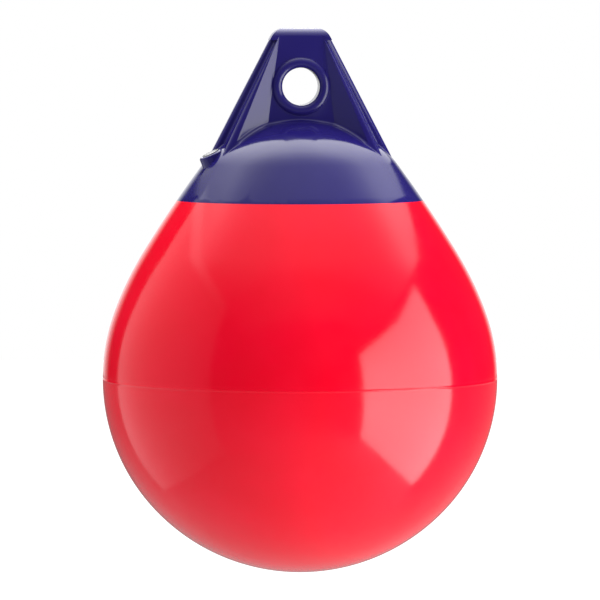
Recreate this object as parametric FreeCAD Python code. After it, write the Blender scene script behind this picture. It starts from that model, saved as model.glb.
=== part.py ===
import FreeCAD, Part
import math
import os

# Inflatable round buoy: a red vinyl ball, a blue moulded top with its rope eye, and an air valve.
# Millimetres, +Z up. The origin is the centre of the rope eye's bore, which runs along Y.
# Angles along the body's outline are those of the surface's normal above the horizontal.

V = FreeCAD.Vector

# ---- body outline, from the equator (the mould's parting line) down and up ----
BALL_RADIUS = 140.0
LOWER_SIDE_RADIUS = 135.5
LOWER_SIDE_END = 42.0
SHOULDER_RADIUS = 138.0
SHOULDER_END = 20.0
NECK_RADIUS = 235.0
NECK_END = 31.5
CONE_RADIUS = 870.0
CONE_END = 36.5
CROWN_EDGE_RADIUS = 60.0
CROWN_EDGE_END = 50.0

# ---- walls and the lap joint between body and top ----
BODY_WALL = 3.0
TOP_WALL = 5.0
COLOUR_LINE_ANGLE = 34.4
LAP_LENGTH = 8.0

# ---- parting line flash round the body ----
FLASH_HEIGHT = 0.35
FLASH_WIDTH = 0.9

# ---- rope-eye lug ----
EYE_ABOVE_CROWN = 22.97
EYE_RADIUS = 13.25
LUG_TOP = 41.2
LUG_TOP_HALF_WIDTH = 17.54
LUG_FOOT_ANGLE = 42.5
LUG_CORNER_RADIUS = 11.0
LUG_TOP_HALF_DEPTH = 13.4
LUG_TOP_ROUND = 8.0
LUG_FOOT_DEPTH = 58.0
WEDGE_ANGLE = 11.5
WEB_HALF = 14.5
FIN_HALF = 7.0
FIN_EDGE_RADIUS = 3.0
FIN_CORNER_RADIUS = 2.0
BAR_HEIGHT = 8.5
BAND = 6.2
BAND_GROWTH = 0.041
RAIL_DRAFT = 4.0
RIDGE_TOP_RADIUS = 0.9
RIDGE_FOOT_RADIUS = 2.6
POCKET_INSET = 18.8
POCKET_INSET_GROWTH = 0.3885
FACET_ANGLE = 35.8
POCKET_FILLET = 2.5
FOOT_FILLET = 1.5

# ---- raised bead round the eye ----
BEAD_HEIGHT = 2.5
BEAD_CREST_RADIUS = 16.7
BEAD_OUTER_RADIUS = 20.6

# ---- valve boss on the crown's shoulder, with its insert and screw ----
BOSS_SEAT_ANGLE = 42.7
BOSS_PROUD = 3.0
BOSS_AZIMUTH = 14.0
BOSS_TILT = 25.7
BOSS_FACE_RADIUS = 8.75
BOSS_DRAFT = 5.0
BOSS_LENGTH = 20.0
BOSS_EDGE_RADIUS = 1.5
INSERT_FLANGE_RADIUS = 6.2
INSERT_FLANGE_THICK = 2.4
INSERT_SLEEVE_RADIUS = 4.5
INSERT_PROUD = 0.4
INSERT_CLEARANCE = 0.05
SCREW_SHANK_RADIUS = 2.95
SCREW_SHANK_LENGTH = 14.0
SCREW_RUNNING_CLEARANCE = 0.05
SCREW_HEAD_RADIUS = 4.4
SCREW_HEAD_THICK = 1.2
SCREW_HEAD_CLEARANCE = 0.1
SLOT_WIDTH = 1.2
SLOT_DEPTH = 0.7

OVERRUN = 5.0
CLOSE = 0.01
CUBIC_CM = 1000.0

UPPER_OUTLINE = [
    (SHOULDER_RADIUS, SHOULDER_END),
    (NECK_RADIUS, NECK_END),
    (CONE_RADIUS, CONE_END),
    (CROWN_EDGE_RADIUS, CROWN_EDGE_END),
]
LOWER_OUTLINE = [(LOWER_SIDE_RADIUS, LOWER_SIDE_END)]


def sin(deg):
    return math.sin(math.radians(deg))


def cos(deg):
    return math.cos(math.radians(deg))


def tan(deg):
    return math.tan(math.radians(deg))


def tangent_arcs(steps, side, equator_z):
    """Arcs (centre r, centre z, radius, side, start, end) from the equator to the pole, each tangent
    to the last. Side is 1 above the equator and -1 below it, and the last arc is a dome on the axis."""
    arcs = []
    r = BALL_RADIUS
    z = equator_z
    start = 0.0
    for radius, end in steps:
        centre_r = r - radius * cos(start)
        centre_z = z - side * radius * sin(start)
        arcs.append((centre_r, centre_z, radius, side, start, end))
        r = centre_r + radius * cos(end)
        z = centre_z + side * radius * sin(end)
        start = end
    dome_radius = r / cos(start)
    arcs.append((0.0, z - side * dome_radius * sin(start), dome_radius, side, start, 90.0))
    return arcs


def arc_point(arc, angle, inset):
    centre_r, centre_z, radius, side = arc[:4]
    reach = radius - inset
    return V(centre_r + reach * cos(angle), 0, centre_z + side * reach * sin(angle))


def outline_edges(arcs, first, last, inset):
    """Edges along the outline between two surface angles, set in from the surface by inset."""
    edges = []
    for arc in arcs:
        low = max(arc[4], first)
        high = min(arc[5], last)
        if high > low:
            points = [arc_point(arc, angle, inset) for angle in (low, (low + high) / 2, high)]
            edges.append(Part.Arc(*points).toShape())
    return edges


def outline_point(arcs, angle, inset):
    for arc in arcs:
        if angle <= arc[5]:
            return arc_point(arc, angle, inset)


EQUATOR_Z = -EYE_ABOVE_CROWN - outline_point(tangent_arcs(UPPER_OUTLINE, 1, 0.0), 90.0, 0.0).z
UPPER = tangent_arcs(UPPER_OUTLINE, 1, EQUATOR_Z)
LOWER = tangent_arcs(LOWER_OUTLINE, -1, EQUATOR_Z)


def revolve(edges):
    face = Part.Face(Part.Wire(Part.__sortEdges__(edges)))
    return face.revolve(V(0, 0, 0), V(0, 0, 1), 360)


def line(first, last):
    return Part.LineSegment(first, last).toShape()


def across(arcs, angle, first, last):
    """The straight edge through the wall at one surface angle, between two insets."""
    return line(outline_point(arcs, angle, first), outline_point(arcs, angle, last))


def body_shell():
    """Red ball: one even wall from the bottom pole up to the colour line, with the mould's flash."""
    edges = []
    for inset in (0.0, BODY_WALL):
        edges += outline_edges(LOWER, 0.0, 90.0, inset)
        edges += outline_edges(UPPER, 0.0, COLOUR_LINE_ANGLE, inset)
    edges.append(across(UPPER, COLOUR_LINE_ANGLE, 0.0, BODY_WALL))
    edges.append(across(LOWER, 90.0, 0.0, BODY_WALL))
    return revolve(edges).fuse(flash_ring()).removeSplitter()


def flash_ring():
    """The thin raised line where the two halves of the mould met."""
    inner = BALL_RADIUS - BODY_WALL / 2
    half = FLASH_WIDTH / 2
    low = V(BALL_RADIUS, 0, EQUATOR_Z - half)
    high = V(BALL_RADIUS, 0, EQUATOR_Z + half)
    crest = V(BALL_RADIUS + FLASH_HEIGHT, 0, EQUATOR_Z)
    edges = [
        Part.Arc(low, crest, high).toShape(),
        line(high, V(inner, 0, EQUATOR_Z + half)),
        line(V(inner, 0, EQUATOR_Z + half), V(inner, 0, EQUATOR_Z - half)),
        line(V(inner, 0, EQUATOR_Z - half), low),
    ]
    return revolve(edges)


def crown():
    """Blue cap: its skirt laps inside the body's rim, and its edge butts on the colour line."""
    skirt_angle = COLOUR_LINE_ANGLE - math.degrees(LAP_LENGTH / CONE_RADIUS)
    edges = outline_edges(UPPER, COLOUR_LINE_ANGLE, 90.0, 0.0)
    edges += outline_edges(UPPER, skirt_angle, 90.0, TOP_WALL)
    edges += outline_edges(UPPER, skirt_angle, COLOUR_LINE_ANGLE, BODY_WALL)
    edges.append(across(UPPER, COLOUR_LINE_ANGLE, 0.0, BODY_WALL))
    edges.append(across(UPPER, skirt_angle, BODY_WALL, TOP_WALL))
    edges.append(across(UPPER, 90.0, 0.0, TOP_WALL))
    return revolve(edges)


def core(inset):
    """The solid inside the upper outline, set in from its surface."""
    edges = outline_edges(UPPER, 0.0, 90.0, inset)
    edges.append(line(outline_point(UPPER, 90.0, inset), V(0, 0, EQUATOR_Z)))
    edges.append(line(V(0, 0, EQUATOR_Z), outline_point(UPPER, 0.0, inset)))
    return revolve(edges)


def seam_edges(body, first, second):
    """The edges of a fused body that lie on the skins of both shapes it was made from."""
    found = []
    for edge in body.Edges:
        middle = Part.Vertex(edge.valueAt((edge.FirstParameter + edge.LastParameter) / 2))
        if all(shape.Shells[0].distToShape(middle)[0] < CLOSE for shape in (first, second)):
            found.append(edge)
    return found


def lug_half_width(z):
    """Half-width of the lug, whose straight sides run from its top down to the crown's edge."""
    foot = outline_point(UPPER, LUG_FOOT_ANGLE, 0.0)
    slope = (foot.x - LUG_TOP_HALF_WIDTH) / (LUG_TOP - foot.z)
    return LUG_TOP_HALF_WIDTH + (LUG_TOP - z) * slope


def lug_half_depth(z):
    return LUG_TOP_HALF_DEPTH + (LUG_TOP - z) * tan(WEDGE_ANGLE)


def prism(points, length):
    """A prism on a closed polygon, extruded by the vector length."""
    return Part.Face(Part.makePolygon(points + points[:1])).extrude(length)


def lug_front():
    """The lug's outline seen along Y: a tapering trapezoid."""
    low = -LUG_FOOT_DEPTH
    reach = lug_half_depth(low)
    points = [
        V(-lug_half_width(low), -reach, low),
        V(lug_half_width(low), -reach, low),
        V(lug_half_width(LUG_TOP), -reach, LUG_TOP),
        V(-lug_half_width(LUG_TOP), -reach, LUG_TOP),
    ]
    return prism(points, V(0, 2 * reach, 0))


def lug_side():
    """The lug's outline seen along X: a wedge, thinner at its top."""
    low = -LUG_FOOT_DEPTH
    reach = lug_half_width(low)
    points = [
        V(-reach, -lug_half_depth(low), low),
        V(-reach, lug_half_depth(low), low),
        V(-reach, lug_half_depth(LUG_TOP), LUG_TOP),
        V(-reach, -lug_half_depth(LUG_TOP), LUG_TOP),
    ]
    return prism(points, V(2 * reach, 0, 0))


def round_top(body, axis, radius):
    """Round the two edges of a prism's top that run along one axis."""
    return body.makeFillet(radius, [e for e in body.Edges if along(e, axis) and e.CenterOfMass.z > 0])


def slab(low, high):
    """Everything between two heights, wider than the lug."""
    reach = 2 * lug_half_width(low)
    return Part.makeBox(2 * reach, 2 * reach, high - low, V(-reach, -reach, low))


def along(edge, axis):
    """Whether a straight edge runs along one axis: 0, 1 or 2 for X, Y or Z."""
    if len(edge.Vertexes) < 2:
        return False
    step = edge.Vertexes[1].Point - edge.Vertexes[0].Point
    return abs(step[axis]) > 0.999 * step.Length


def rail_wall(z, y):
    """Half-width at a rail's drafted outer wall; at the ridge it leaves the band to the outline."""
    band = BAND - z * BAND_GROWTH
    return lug_half_width(z) - band + (lug_half_depth(z) - y) * tan(RAIL_DRAFT)


def side_groove(x_sign, y_sign):
    """What is cut away beside a rail, down to the fin that makes the lug's outline."""
    low = -LUG_FOOT_DEPTH - OVERRUN
    high = LUG_TOP + OVERRUN
    outer = lug_half_width(low) + OVERRUN
    wires = []
    for y in (FIN_HALF, lug_half_depth(low) + OVERRUN):
        points = [
            V(x_sign * rail_wall(low, y), y_sign * y, low),
            V(x_sign * outer, y_sign * y, low),
            V(x_sign * outer, y_sign * y, high),
            V(x_sign * rail_wall(high, y), y_sign * y, high),
        ]
        wires.append(Part.makePolygon(points + points[:1]))
    return Part.makeLoft(wires, True, True)


def long_edges(body, test):
    """The edges that run from the lug's foot to its top and whose ends both pass the test."""
    found = []
    for edge in body.Edges:
        ends = [vertex.Point for vertex in edge.Vertexes]
        if len(ends) == 2 and abs(ends[0].z - ends[1].z) > LUG_TOP and test(ends[0]) and test(ends[1]):
            found.append(edge)
    return found


def on_fin(point):
    return abs(abs(point.y) - FIN_HALF) < CLOSE


def on_outline(point):
    return abs(abs(point.x) - lug_half_width(point.z)) < CLOSE


def on_ridge(point):
    return abs(abs(point.y) - lug_half_depth(point.z)) < CLOSE


def rails():
    """The lug below its top bar: a block with two rails a side and the fin between their backs."""
    body = lug_front().common(lug_side())
    for x_sign in (-1, 1):
        for y_sign in (-1, 1):
            body = body.cut(side_groove(x_sign, y_sign))
    body = body.makeFillet(FIN_EDGE_RADIUS, long_edges(body, lambda p: on_fin(p) and on_outline(p)))
    body = body.makeFillet(FIN_CORNER_RADIUS, long_edges(body, lambda p: on_fin(p) and not on_outline(p)))
    body = body.makeFillet(RIDGE_FOOT_RADIUS, RIDGE_TOP_RADIUS, long_edges(body, on_ridge))
    return body.common(slab(-LUG_FOOT_DEPTH, LUG_TOP - BAR_HEIGHT))


def top_bar():
    """The lug's rounded top, which bridges the rails and the fin."""
    front = round_top(lug_front(), 1, LUG_CORNER_RADIUS)
    side = round_top(lug_side(), 0, LUG_TOP_ROUND)
    return front.common(side).common(slab(LUG_TOP - BAR_HEIGHT, LUG_TOP))


def pocket(y_sign):
    """What is cut away in front of the web, between two inclined facets and down to the crown."""
    low = -LUG_FOOT_DEPTH - OVERRUN
    high = LUG_TOP + OVERRUN
    reach = lug_half_depth(low) + OVERRUN
    flare = (reach - WEB_HALF) / tan(FACET_ANGLE)
    wires = []
    for z in (low, high):
        half = lug_half_width(z) - POCKET_INSET + z * POCKET_INSET_GROWTH
        points = [
            V(-half, y_sign * WEB_HALF, z),
            V(half, y_sign * WEB_HALF, z),
            V(half + flare, y_sign * reach, z),
            V(-half - flare, y_sign * reach, z),
        ]
        wires.append(Part.makePolygon(points + points[:1]))
    cutter = Part.makeLoft(wires, True, True).cut(core(0.0))
    return cutter.makeFillet(POCKET_FILLET, [e for e in cutter.Edges if from_web(e, high)])


def from_web(edge, high):
    """Whether an edge of the pocket starts on the web's face, apart from those at its open top."""
    return edge.CenterOfMass.z < high - CLOSE and any(
        abs(abs(vertex.Point.y) - WEB_HALF) < CLOSE for vertex in edge.Vertexes
    )


def eye_bead():
    """A ring round the bore with a rounded bead at both ends, standing proud of the web."""
    crest_y = WEB_HALF + BEAD_HEIGHT
    mouth = BEAD_CREST_RADIUS - EYE_RADIUS
    outer_run = BEAD_OUTER_RADIUS - BEAD_CREST_RADIUS
    outer_round = (outer_run ** 2 + BEAD_HEIGHT ** 2) / (2 * BEAD_HEIGHT)
    half_turn = math.degrees(math.asin(outer_run / outer_round)) / 2
    edges = []
    for side in (-1, 1):
        crest = V(BEAD_CREST_RADIUS, side * crest_y, 0)
        throat = V(EYE_RADIUS, side * (crest_y - mouth), 0)
        mouth_mid = V(BEAD_CREST_RADIUS - mouth * sin(45), side * (crest_y - mouth + mouth * cos(45)), 0)
        foot = V(BEAD_OUTER_RADIUS, side * WEB_HALF, 0)
        outer_mid = V(
            BEAD_CREST_RADIUS + outer_round * sin(half_turn),
            side * (crest_y - outer_round + outer_round * cos(half_turn)),
            0,
        )
        edges.append(Part.Arc(throat, mouth_mid, crest).toShape())
        edges.append(Part.Arc(crest, outer_mid, foot).toShape())
    edges.append(line(V(EYE_RADIUS, mouth - crest_y, 0), V(EYE_RADIUS, crest_y - mouth, 0)))
    edges.append(line(V(BEAD_OUTER_RADIUS, -WEB_HALF, 0), V(BEAD_OUTER_RADIUS, WEB_HALF, 0)))
    face = Part.Face(Part.Wire(Part.__sortEdges__(edges)))
    return face.revolve(V(0, 0, 0), V(0, 1, 0), 360)


def rope_lug():
    """The lug before its pockets are cut: rails, fin and top bar, ending inside the crown's wall."""
    return rails().fuse(top_bar()).removeSplitter().cut(core(TOP_WALL / 2))


def boss_outward():
    """Level direction from the buoy's axis to the valve: a little to the front of -X."""
    return V(-cos(BOSS_AZIMUTH), -sin(BOSS_AZIMUTH), 0)


def boss_axis():
    return boss_outward() * sin(BOSS_TILT) + V(0, 0, cos(BOSS_TILT))


def boss_point(depth):
    """The point on the valve's axis this far below the boss's end face."""
    seat = outline_point(UPPER, BOSS_SEAT_ANGLE, 0.0)
    return boss_outward() * seat.x + V(0, 0, seat.z) + boss_axis() * (BOSS_PROUD - depth)


def round_bar(radius, first, last):
    """A cylinder on the valve's axis between two depths below the boss's end face."""
    return Part.makeCylinder(radius, last - first, boss_point(last), boss_axis())


def valve_boss():
    """A short tapered boss with a rounded edge."""
    foot_radius = BOSS_FACE_RADIUS + BOSS_LENGTH * tan(BOSS_DRAFT)
    boss = Part.makeCone(foot_radius, BOSS_FACE_RADIUS, BOSS_LENGTH, boss_point(BOSS_LENGTH), boss_axis())
    face_edges = [e for e in boss.Edges if e.Curve.TypeId == "Part::GeomCircle"
                  and abs(e.Curve.Radius - BOSS_FACE_RADIUS) < 0.001]
    return boss.makeFillet(BOSS_EDGE_RADIUS, face_edges)


def valve_hole():
    """What the insert fills in the boss, with its clearance."""
    flange_seat = INSERT_FLANGE_THICK - INSERT_PROUD
    sleeve = round_bar(INSERT_SLEEVE_RADIUS + INSERT_CLEARANCE, -OVERRUN, BOSS_LENGTH + OVERRUN)
    recess = round_bar(INSERT_FLANGE_RADIUS + INSERT_CLEARANCE, -OVERRUN, flange_seat)
    return sleeve.fuse(recess)


def top_moulding():
    """Blue top in one moulding: crown, rope-eye lug and valve boss."""
    cap = crown()
    lug = rope_lug()
    top = cap.fuse(lug)
    top = top.makeFillet(FOOT_FILLET, seam_edges(top, cap, lug))
    for y_sign in (-1, 1):
        top = top.cut(pocket(y_sign))
    top = top.cut(Part.makeCylinder(BEAD_CREST_RADIUS, 4 * WEB_HALF, V(0, -2 * WEB_HALF, 0), V(0, 1, 0)))
    top = top.fuse(eye_bead()).fuse(valve_boss())
    return top.cut(valve_hole())


def valve_insert():
    """Flanged bush moulded into the boss; its bore takes the screw."""
    top = -INSERT_PROUD
    flange = round_bar(INSERT_FLANGE_RADIUS, top, top + INSERT_FLANGE_THICK)
    sleeve = round_bar(INSERT_SLEEVE_RADIUS, top, BOSS_LENGTH)
    bore = round_bar(SCREW_SHANK_RADIUS + SCREW_RUNNING_CLEARANCE, top - OVERRUN, BOSS_LENGTH + OVERRUN)
    recess = round_bar(SCREW_HEAD_RADIUS + SCREW_HEAD_CLEARANCE, top - OVERRUN, top + SCREW_HEAD_THICK)
    return flange.fuse(sleeve).cut(bore).cut(recess).removeSplitter()


def valve_screw():
    """Slotted plug, its head flush with the insert's flange."""
    top = -INSERT_PROUD
    seat = top + SCREW_HEAD_THICK
    head = round_bar(SCREW_HEAD_RADIUS, top, seat)
    shank = round_bar(SCREW_SHANK_RADIUS, top, seat + SCREW_SHANK_LENGTH)
    slot = Part.makeBox(4 * SCREW_HEAD_RADIUS, SLOT_WIDTH, 2 * SLOT_DEPTH)
    slot.translate(V(-2 * SCREW_HEAD_RADIUS, -SLOT_WIDTH / 2, -SLOT_DEPTH))
    slot.rotate(V(0, 0, 0), V(0, 1, 0), BOSS_TILT)
    slot.rotate(V(0, 0, 0), V(0, 0, 1), 180 + BOSS_AZIMUTH)
    slot.translate(boss_point(top))
    return head.fuse(shank).cut(slot).removeSplitter()


def export(name, shape):
    shape.Solids[0].exportStep("parts/%s.step" % name)
    print(name, len(shape.Solids), "solid", shape.isValid(), round(shape.Volume / CUBIC_CM, 2), "cm3")


os.makedirs("parts", exist_ok=True)
export("body_shell", body_shell())
export("top_moulding", top_moulding())
export("valve_insert", valve_insert())
export("valve_screw", valve_screw())
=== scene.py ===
import math

import bmesh
import bpy
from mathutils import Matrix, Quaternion, Vector


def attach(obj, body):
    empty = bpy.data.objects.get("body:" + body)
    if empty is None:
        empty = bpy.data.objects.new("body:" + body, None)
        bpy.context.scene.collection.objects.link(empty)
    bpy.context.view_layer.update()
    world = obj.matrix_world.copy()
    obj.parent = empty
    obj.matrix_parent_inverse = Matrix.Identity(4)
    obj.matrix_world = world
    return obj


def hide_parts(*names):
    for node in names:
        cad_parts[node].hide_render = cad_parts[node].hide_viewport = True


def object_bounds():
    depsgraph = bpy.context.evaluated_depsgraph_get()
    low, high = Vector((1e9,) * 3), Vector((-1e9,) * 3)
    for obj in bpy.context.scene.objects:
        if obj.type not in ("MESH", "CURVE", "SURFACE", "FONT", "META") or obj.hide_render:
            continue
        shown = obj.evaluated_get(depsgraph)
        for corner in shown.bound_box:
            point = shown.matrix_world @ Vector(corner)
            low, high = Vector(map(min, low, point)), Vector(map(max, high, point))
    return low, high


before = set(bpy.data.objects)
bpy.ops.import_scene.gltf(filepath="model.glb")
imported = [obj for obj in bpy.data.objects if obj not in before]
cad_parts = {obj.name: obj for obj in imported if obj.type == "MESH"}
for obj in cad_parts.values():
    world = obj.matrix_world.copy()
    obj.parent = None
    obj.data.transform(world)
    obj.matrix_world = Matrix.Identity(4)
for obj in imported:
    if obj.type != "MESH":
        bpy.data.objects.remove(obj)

CAD_BOX = [list(corner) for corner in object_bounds()]
MM = 0.001

# ---- the body's outline, as in the part's source, in metres and degrees ----
BALL_RADIUS = 140 * MM
CROWN_TOP_Z = -22.97 * MM
UPPER_ARCS = ((138 * MM, 20.0), (235 * MM, 31.5), (870 * MM, 36.5), (60 * MM, 50.0))
LOWER_ARCS = ((135.5 * MM, 42.0),)
COLOUR_LINE_ANGLE = 34.4
BODY_WALL = 3 * MM
FLASH_HEIGHT = 0.35 * MM
FLASH_HALF = 0.45 * MM

# ---- the flash's height round the ball: a mean share of full, and waves (share, waves a turn, start) ----
FLASH_MEAN = 0.62
FLASH_WAVES = ((0.20, 1, 0.9), (0.10, 5, 0.0), (0.08, 13, 1.0))

# ---- mesh fineness ----
AROUND = 320
RING_STEP = 1.6 * MM
INNER_RING_STEP = 4 * RING_STEP
FLASH_STEPS = 8
FLASH_CLEAR = 1.1
SAME_POINT = 0.05
SAME_RING = 0.02 * MM
ON_AXIS = 0.001 * MM

# ---- the top's worn edges, in metres and degrees ----
WELD_REACH = 0.01 * MM
FLAT_ANGLE = 0.4
WORN_EDGE = 0.6 * MM
WORN_SEGMENTS = 3
CRISP_ANGLE = 28
SHARP_ANGLE = 40


# ---------------------------------------------------------------- outline

def tangent_arcs(steps, side, equator_z):
    """Arcs from the equator to the pole, each tangent to the last, ending in a dome on the axis."""
    arcs = []
    r, z, start = BALL_RADIUS, equator_z, 0.0
    for radius, end in steps:
        centre_r = r - radius * math.cos(math.radians(start))
        centre_z = z - side * radius * math.sin(math.radians(start))
        arcs.append((centre_r, centre_z, radius, side, start, end))
        r = centre_r + radius * math.cos(math.radians(end))
        z = centre_z + side * radius * math.sin(math.radians(end))
        start = end
    dome = r / math.cos(math.radians(start))
    arcs.append((0.0, z - side * dome * math.sin(math.radians(start)), dome, side, start, 90.0))
    return arcs


def top_height(arcs):
    centre_r, centre_z, radius = arcs[-1][:3]
    return centre_z + radius


EQUATOR_Z = CROWN_TOP_Z - top_height(tangent_arcs(UPPER_ARCS, 1, 0.0))
UPPER = tangent_arcs(UPPER_ARCS, 1, EQUATOR_Z)
LOWER = tangent_arcs(LOWER_ARCS, -1, EQUATOR_Z)


def outline_points(arcs, first, last, inset, step):
    """Points along the outline between two surface angles, evenly spaced on each arc."""
    points = []
    for centre_r, centre_z, radius, side, start, end in arcs:
        low, high = max(start, first), min(end, last)
        if high <= low:
            continue
        reach = radius - inset
        count = max(2, math.ceil(math.radians(high - low) * radius / step))
        for i in range(count + 1):
            angle = math.radians(low + (high - low) * i / count)
            point = (centre_r + reach * math.cos(angle), centre_z + side * reach * math.sin(angle))
            if not points or math.dist(point, points[-1]) > step * SAME_POINT:
                points.append(point)
    return points


def revolved(name, profile):
    """A mesh turned about Z from (r, z) points; points on the axis become poles."""
    mesh = bmesh.new()
    rings = []
    for r, z in profile:
        if r < ON_AXIS:
            rings.append([mesh.verts.new((0, 0, z))])
            continue
        rings.append([
            mesh.verts.new((r * math.cos(a), r * math.sin(a), z))
            for a in (2 * math.pi * i / AROUND for i in range(AROUND))
        ])
    for low, high in zip(rings, rings[1:]):
        for i in range(AROUND):
            j = (i + 1) % AROUND
            if len(low) == 1:
                mesh.faces.new((low[0], high[j], high[i]))
            elif len(high) == 1:
                mesh.faces.new((low[i], low[j], high[0]))
            else:
                mesh.faces.new((low[i], low[j], high[j], high[i]))
    bmesh.ops.recalc_face_normals(mesh, faces=mesh.faces)
    data = bpy.data.meshes.new(name)
    mesh.to_mesh(data)
    mesh.free()
    for polygon in data.polygons:
        polygon.use_smooth = True
    piece = bpy.data.objects.new(name, data)
    bpy.context.scene.collection.objects.link(piece)
    return piece


# ---------------------------------------------------------------- red ball

def flash_bump(r, z):
    """The parting line's raised lip, rounded, on the equator."""
    across = abs(z - EQUATOR_Z) / FLASH_HALF
    if across >= 1:
        return r
    return r + FLASH_HEIGHT * math.sqrt(1 - across * across)


def flash_profile():
    heights = [EQUATOR_Z + FLASH_HALF * (2 * i / FLASH_STEPS - 1) for i in range(FLASH_STEPS + 1)]
    return [(flash_bump(BALL_RADIUS, z), z) for z in heights]


def sharpen_ring(data, point):
    """The skin's cut edge is crisp, so its rim takes no stray highlight."""
    for edge in data.edges:
        ends = [data.vertices[i].co for i in edge.vertices]
        if all(math.dist((math.hypot(co.x, co.y), co.z), point) < SAME_RING for co in ends):
            edge.use_edge_sharp = True


def trim_flash(data):
    """The flash was pared by hand, so its height wanders from full to about a quarter round the ball."""
    for vertex in data.vertices:
        co = vertex.co
        r = math.hypot(co.x, co.y)
        if abs(co.z - EQUATOR_Z) < FLASH_HALF and r > BALL_RADIUS:
            turn = math.atan2(co.y, co.x)
            waves = (share * math.sin(count * turn + start) for share, count, start in FLASH_WAVES)
            wander = FLASH_MEAN + sum(waves)
            reach = (BALL_RADIUS + (r - BALL_RADIUS) * wander) / r
            co.x *= reach
            co.y *= reach


def make_ball():
    lower = outline_points(LOWER, 0.0, 90.0, 0.0, RING_STEP)[::-1]
    upper = outline_points(UPPER, 0.0, COLOUR_LINE_ANGLE, 0.0, RING_STEP)
    lower = [p for p in lower if p[1] < EQUATOR_Z - FLASH_HALF * FLASH_CLEAR]
    upper = [p for p in upper if p[1] > EQUATOR_Z + FLASH_HALF * FLASH_CLEAR]
    outer = lower + flash_profile() + upper
    inner = outline_points(LOWER, 0.0, 90.0, BODY_WALL, INNER_RING_STEP)[::-1]
    inner += outline_points(UPPER, 0.0, COLOUR_LINE_ANGLE, BODY_WALL, INNER_RING_STEP)[1:]
    ball = revolved("ball_skin", outer + inner[::-1])
    sharpen_ring(ball.data, outer[-1])
    sharpen_ring(ball.data, inner[-1])
    trim_flash(ball.data)
    return ball


# ---------------------------------------------------------------- blue top

def make_top():
    """The moulding's own form, with the edges that the mould left crisp worn to a small round."""
    name = "top_skin"
    top = bpy.data.objects.new(name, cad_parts["top_moulding"].data.copy())
    bpy.context.scene.collection.objects.link(top)
    weld = top.modifiers.new("weld", "WELD")
    weld.merge_threshold = WELD_REACH
    flats = top.modifiers.new("flats", "DECIMATE")
    flats.decimate_type = "DISSOLVE"
    flats.angle_limit = math.radians(FLAT_ANGLE)
    worn = top.modifiers.new("worn edges", "BEVEL")
    worn.width = WORN_EDGE
    worn.segments = WORN_SEGMENTS
    worn.limit_method = "ANGLE"
    worn.angle_limit = math.radians(CRISP_ANGLE)
    worn.miter_outer = "MITER_ARC"
    graph = bpy.context.evaluated_depsgraph_get()
    data = bpy.data.meshes.new_from_object(top.evaluated_get(graph))
    top.modifiers.clear()
    top.data = data
    data.name = name
    if data.has_custom_normals:
        bpy.context.view_layer.objects.active = top
        bpy.ops.mesh.customdata_custom_splitnormals_clear()
    for polygon in data.polygons:
        polygon.use_smooth = True
    data.set_sharp_from_angle(angle=math.radians(SHARP_ANGLE))
    return top


# ---------------------------------------------------------------- materials

LUG_SATIN = 0.08
LUG_SATIN_HEIGHTS = (-30 * MM, -15 * MM)
VINYL_IOR = 1.52
CLOUDING_SCALE = 22.0
GLOSS_SCALE = 60.0
SLOW_WAVES = (14.0, 0.25 * MM)
ORANGE_PEEL = (420.0, 0.012 * MM)
SPECKLE_SCALE = 300.0
SATIN_SCALE = 500.0
FINE_GRAIN = (1500.0, 0.02 * MM)
TONE_SPREAD = (0.35, 0.65)
NOISE_SPREAD = (0.3, 0.7)


def new_material(name):
    material = bpy.data.materials.new(name)
    material.use_nodes = True
    tree = material.node_tree
    shader = tree.nodes["Principled BSDF"]
    return material, tree, shader


def noise(tree, scale, detail=2.0):
    coords = tree.nodes.new("ShaderNodeTexCoord")
    texture = tree.nodes.new("ShaderNodeTexNoise")
    texture.inputs["Scale"].default_value = scale
    texture.inputs["Detail"].default_value = detail
    tree.links.new(coords.outputs["Object"], texture.inputs["Vector"])
    return texture.outputs["Fac"]


def ramp(tree, fac, low, high, at=NOISE_SPREAD):
    node = tree.nodes.new("ShaderNodeMapRange")
    node.inputs["From Min"].default_value = at[0]
    node.inputs["From Max"].default_value = at[1]
    node.inputs["To Min"].default_value = low
    node.inputs["To Max"].default_value = high
    tree.links.new(fac, node.inputs["Value"])
    return node.outputs["Result"]


def two_tone(tree, fac, first, second):
    mix = tree.nodes.new("ShaderNodeMix")
    mix.data_type = "RGBA"
    mix.inputs["A"].default_value = (*first, 1)
    mix.inputs["B"].default_value = (*second, 1)
    tree.links.new(ramp(tree, fac, 0, 1, TONE_SPREAD), mix.inputs["Factor"])
    return mix.outputs["Result"]


def bumps(tree, shader, layers):
    """Stacked bumps: each layer is (height output, depth in metres)."""
    previous = None
    for height, depth in layers:
        bump = tree.nodes.new("ShaderNodeBump")
        bump.inputs["Strength"].default_value = 1.0
        bump.inputs["Distance"].default_value = depth
        tree.links.new(height, bump.inputs["Height"])
        if previous is not None:
            tree.links.new(previous, bump.inputs["Normal"])
        previous = bump.outputs["Normal"]
    tree.links.new(previous, shader.inputs["Normal"])


def with_satin_lug(tree, rough):
    """The lug came off a duller part of the mould than the crown under it."""
    coords = tree.nodes.new("ShaderNodeTexCoord")
    split = tree.nodes.new("ShaderNodeSeparateXYZ")
    tree.links.new(coords.outputs["Object"], split.inputs["Vector"])
    total = tree.nodes.new("ShaderNodeMath")
    total.operation = "ADD"
    tree.links.new(rough, total.inputs[0])
    tree.links.new(ramp(tree, split.outputs["Z"], 0.0, LUG_SATIN, LUG_SATIN_HEIGHTS), total.inputs[1])
    return total.outputs[0]


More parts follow.
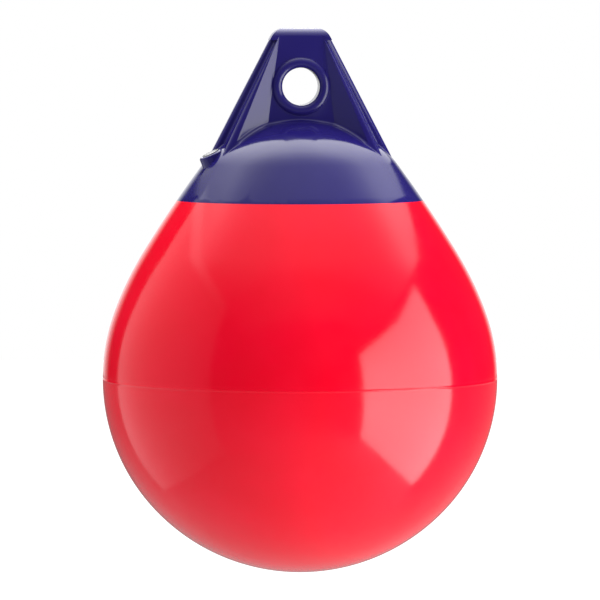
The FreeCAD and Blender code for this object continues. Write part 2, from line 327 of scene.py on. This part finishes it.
def vinyl(name, first, second, rough_low, rough_high, satin_lug=False):
    """Glossy soft vinyl: faint clouding, an orange-peel skin and slow waves from the mould."""
    material, tree, shader = new_material(name)
    clouded = two_tone(tree, noise(tree, CLOUDING_SCALE, 3.0), first, second)
    tree.links.new(clouded, shader.inputs["Base Color"])
    rough = ramp(tree, noise(tree, GLOSS_SCALE, 4.0), rough_low, rough_high)
    if satin_lug:
        rough = with_satin_lug(tree, rough)
    tree.links.new(rough, shader.inputs["Roughness"])
    shader.inputs["IOR"].default_value = VINYL_IOR
    bumps(tree, shader, [
        (noise(tree, SLOW_WAVES[0], 1.0), SLOW_WAVES[1]),
        (noise(tree, ORANGE_PEEL[0]), ORANGE_PEEL[1]),
    ])
    return material


def moulded(name, colour, rough):
    """Satin moulded nylon: a fine speckle and grain."""
    material, tree, shader = new_material(name)
    darker = tuple(c * 0.8 for c in colour)
    speckled = two_tone(tree, noise(tree, SPECKLE_SCALE, 3.0), darker, colour)
    tree.links.new(speckled, shader.inputs["Base Color"])
    satin = ramp(tree, noise(tree, SATIN_SCALE, 3.0), rough * 0.85, rough * 1.15)
    tree.links.new(satin, shader.inputs["Roughness"])
    bumps(tree, shader, [(noise(tree, FINE_GRAIN[0]), FINE_GRAIN[1])])
    return material


# ---------------------------------------------------------------- stage

BALL_CENTRE = Vector((0, 0, EQUATOR_Z))
BALL_BOTTOM = min(CAD_BOX[0][2], CAD_BOX[1][2])
FLOOR_DROP = 0.60
FLOOR_RADIUS = 12.0
FLOOR_PALE = (0.27, 0.29)
FLOOR_BOUNCE = 0.45
FLOOR_GLOW_REACH = (0.3, 2.5)
FLOOR_GLOW = (0.48, 1.0)
CAMERA_DISTANCE = 4.0
CAMERA_AZIMUTH = -3.0
CAMERA_Z = 0.056
AIM_Z = -0.1516
VIEW_WIDTH = 0.4257
SENSOR = 36.0
CAMERA_REACH = 100.0
AMBIENT = 0.68
BACKDROP_EDGE = (0.90, 0.985)
BACKDROP_IN_GLOSS = (0.03, 1.0)
RIGHT_BOX_ROLL = 6.0


def make_camera():
    data = bpy.data.cameras.new("camera")
    data.sensor_width = SENSOR
    camera = bpy.data.objects.new("camera", data)
    bpy.context.scene.collection.objects.link(camera)
    turn = math.radians(CAMERA_AZIMUTH)
    camera.location = (CAMERA_DISTANCE * math.sin(turn), -CAMERA_DISTANCE * math.cos(turn), CAMERA_Z)
    aim = Vector((0, 0, AIM_Z)) - camera.location
    data.lens = SENSOR * aim.length / VIEW_WIDTH
    data.clip_end = CAMERA_REACH
    camera.rotation_euler = aim.to_track_quat("-Z", "Y").to_euler()
    bpy.context.scene.camera = camera


def graded(data, *gradings):
    """Grades a lamp over its face. Each grading is a direction and its stops, (metres along it from the
    ball's centre, share of the full light). The shares of several gradings multiply."""
    data.use_nodes = True
    tree = data.node_tree
    where = tree.nodes.new("ShaderNodeNewGeometry")
    total = None
    for direction, stops in gradings:
        along = tree.nodes.new("ShaderNodeVectorMath")
        along.operation = "DOT_PRODUCT"
        along.inputs[1].default_value = direction
        tree.links.new(where.outputs["Position"], along.inputs[0])
        centre = BALL_CENTRE.dot(Vector(direction))
        first, last = stops[0][0], stops[-1][0]
        span = ramp(tree, along.outputs["Value"], 0.0, 1.0, (first + centre, last + centre))
        grade = tree.nodes.new("ShaderNodeValToRGB")
        for place, share in stops[1:-1]:
            stop = grade.color_ramp.elements.new((place - first) / (last - first))
            stop.color = (share, share, share, 1)
        grade.color_ramp.elements[0].color = (*[stops[0][1]] * 3, 1)
        grade.color_ramp.elements[-1].color = (*[stops[-1][1]] * 3, 1)
        tree.links.new(span, grade.inputs["Fac"])
        shares = grade.outputs["Color"]
        if total is not None:
            product = tree.nodes.new("ShaderNodeVectorMath")
            product.operation = "MULTIPLY"
            tree.links.new(total, product.inputs[0])
            tree.links.new(shares, product.inputs[1])
            shares = product.outputs["Vector"]
        total = shares
    tree.links.new(total, tree.nodes["Emission"].inputs["Color"])


def panel(name, centre, facing, size, radiance, roll=0.0):
    """A rectangular lamp at a place measured from the ball's centre, facing a direction."""
    data = bpy.data.lights.new(name, "AREA")
    data.shape = "RECTANGLE"
    data.size, data.size_y = size
    data.energy = radiance * math.pi * size[0] * size[1]
    lamp = bpy.data.objects.new(name, data)
    bpy.context.scene.collection.objects.link(lamp)
    lamp.location = BALL_CENTRE + Vector(centre)
    turn = Vector(facing).to_track_quat("-Z", "Y")
    lamp.rotation_euler = (turn @ Quaternion((0, 0, 1), math.radians(roll))).to_euler()
    return data


def make_lights():
    right = panel("right_box", (0.75, -0.59, -0.235), (-1, 0, 0), (1.15, 1.41), 4.1, RIGHT_BOX_ROLL)
    graded(right, ((0, 0, -1), ((-0.45, 0.66), (-0.10, 0.90), (0.30, 1.0), (0.95, 0.80))))
    ceiling = panel("ceiling", (0.05, 0.55, 0.80), (0, 0, -1), (2.0, 3.9), 4.7)
    front_to_back = (
        (-1.20, 0.0), (-0.95, 0.03), (-0.65, 0.05), (-0.45, 0.12), (-0.25, 0.21), (-0.15, 0.33),
        (-0.05, 0.53), (0.05, 0.80), (0.15, 0.97), (0.30, 1.0), (0.50, 0.95), (0.90, 0.75),
    )
    side_to_side = (
        (-0.95, 0.14), (-0.75, 0.30), (-0.55, 0.52), (-0.35, 0.77), (-0.10, 1.0), (0.15, 1.0),
        (0.40, 0.72), (0.65, 0.50), (1.05, 0.30),
    )
    graded(ceiling, ((0, 1, 0), front_to_back), ((1, 0, 0), side_to_side))
    left = panel("left_panel", (-0.80, 0.02, -0.10), (1, 0, 0), (1.25, 1.7), 0.75)
    front_to_rear = ((-0.60, 0.20), (0.0, 0.60), (0.50, 1.0))
    bottom_to_top = ((-0.75, 0.45), (-0.30, 1.0), (0.75, 1.0))
    graded(left, ((0, 1, 0), front_to_rear), ((0, 0, 1), bottom_to_top))


def seen_through(tree, path):
    """1 where the camera sees straight, or through something clear, to what has this material."""
    seen = tree.nodes.new("ShaderNodeMath")
    seen.operation = "MAXIMUM"
    tree.links.new(path.outputs["Is Camera Ray"], seen.inputs[0])
    tree.links.new(path.outputs["Is Transmission Ray"], seen.inputs[1])
    return seen.outputs[0]


def make_world():
    """White to the eye and, behind the buoy, in its gloss; otherwise an even pale room."""
    world = bpy.data.worlds.new("world")
    bpy.context.scene.world = world
    world.use_nodes = True
    tree = world.node_tree
    path = tree.nodes.new("ShaderNodeLightPath")
    coords = tree.nodes.new("ShaderNodeTexCoord")
    behind = tree.nodes.new("ShaderNodeVectorMath")
    behind.operation = "DOT_PRODUCT"
    behind.inputs[1].default_value = (0, 1, 0)
    tree.links.new(coords.outputs["Generated"], behind.inputs[0])
    backdrop = ramp(tree, behind.outputs["Value"], *BACKDROP_IN_GLOSS, BACKDROP_EDGE)
    mirrored = tree.nodes.new("ShaderNodeMix")
    mirrored.inputs["A"].default_value = AMBIENT
    tree.links.new(path.outputs["Is Glossy Ray"], mirrored.inputs["Factor"])
    tree.links.new(backdrop, mirrored.inputs["B"])
    level = tree.nodes.new("ShaderNodeMix")
    level.inputs["B"].default_value = 1.0
    tree.links.new(seen_through(tree, path), level.inputs["Factor"])
    tree.links.new(mirrored.outputs["Result"], level.inputs["A"])
    tree.links.new(level.outputs["Result"], tree.nodes["Background"].inputs["Strength"])
    tree.nodes["Background"].inputs["Color"].default_value = (1, 1, 1, 1)


def make_floor():
    """A pale floor well below the ball. Its own glow grows with distance, so that it meets the white
    backdrop while the middle keeps the buoy's shadow."""
    bpy.ops.mesh.primitive_circle_add(vertices=128, radius=FLOOR_RADIUS, fill_type="NGON")
    floor = bpy.context.object
    floor.name = "floor"
    floor.location = (0, 0, BALL_BOTTOM - FLOOR_DROP)
    material, tree, shader = new_material("floor")
    shader.inputs["Roughness"].default_value = 0.9
    shader.inputs["Specular IOR Level"].default_value = 0.0
    pale = two_tone(tree, noise(tree, 3.0), *((level,) * 3 for level in FLOOR_PALE))
    tree.links.new(pale, shader.inputs["Base Color"])
    coords = tree.nodes.new("ShaderNodeTexCoord")
    reach = tree.nodes.new("ShaderNodeVectorMath")
    reach.operation = "LENGTH"
    tree.links.new(coords.outputs["Object"], reach.inputs[0])
    white = ramp(tree, reach.outputs["Value"], *FLOOR_GLOW, FLOOR_GLOW_REACH)
    path = tree.nodes.new("ShaderNodeLightPath")
    shown = tree.nodes.new("ShaderNodeMath")
    shown.operation = "MULTIPLY"
    tree.links.new(seen_through(tree, path), shown.inputs[0])
    tree.links.new(white, shown.inputs[1])
    glow = tree.nodes.new("ShaderNodeMath")
    glow.operation = "MULTIPLY_ADD"
    glow.inputs[1].default_value = FLOOR_BOUNCE
    tree.links.new(path.outputs["Is Diffuse Ray"], glow.inputs[0])
    tree.links.new(shown.outputs[0], glow.inputs[2])
    shader.inputs["Emission Color"].default_value = (1, 1, 1, 1)
    tree.links.new(glow.outputs[0], shader.inputs["Emission Strength"])
    floor.data.materials.append(material)


# ---------------------------------------------------------------- build

def dress(piece, material, body, node):
    piece.data.materials.clear()
    piece.data.materials.append(material)
    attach(piece, body)
    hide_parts(node)


red = vinyl("red_vinyl", (0.80, 0.0, 0.017), (0.83, 0.0005, 0.021), 0.10, 0.14)
blue = vinyl("blue_vinyl", (0.0135, 0.009, 0.110), (0.0155, 0.011, 0.121), 0.09, 0.13, True)
dress(make_ball(), red, "buoy", "body_shell")
dress(make_top(), blue, "buoy", "top_moulding")
for node, material in (
    ("valve_insert", moulded("insert_plastic", (0.045, 0.045, 0.05), 0.45)),
    ("valve_screw", moulded("screw_plastic", (0.30, 0.30, 0.32), 0.40)),
):
    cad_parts[node].data.materials.clear()
    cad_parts[node].data.materials.append(material)

make_camera()
make_lights()
make_world()
make_floor()
scene = bpy.context.scene
scene.view_settings.view_transform = "Standard"
